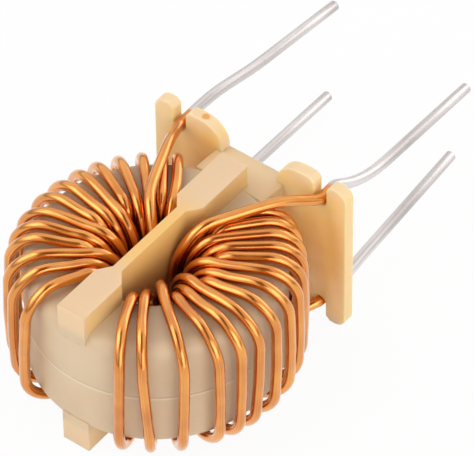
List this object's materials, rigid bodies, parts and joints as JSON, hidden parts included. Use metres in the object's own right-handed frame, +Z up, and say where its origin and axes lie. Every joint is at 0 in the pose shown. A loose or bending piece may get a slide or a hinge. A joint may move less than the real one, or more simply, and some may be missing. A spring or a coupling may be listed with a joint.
{
  "type": "toroidal inductor",
  "caption": "Common-mode choke: a cased ring core with a divider bar, enamelled copper windings, a notched base plate and long bare leads.",
  "frame": {"origin": "where the ring's axis meets the plane that the lying choke rests on", "axes": "+Z up along the ring's axis, +Y towards the leads, +X to the right when looking along the leads"},
  "size_m": [0.0259, 0.0474, 0.0162],
  "materials": {
    "ferrite": "dull dark grey sintered ferrite",
    "case": "satin moulded plastic, tan beige",
    "plate": "satin moulded plastic, cream",
    "wire": "glossy clear orange enamel on copper; the leads behind the plate are bare and tinned"
  },
  "bodies": {
    "root": {"toroid_core": "ferrite", "case_upper": "case", "case_lower": "case", "base_plate": "plate", "winding_left": "wire", "winding_right": "wire"}
  },
  "joints": []
}
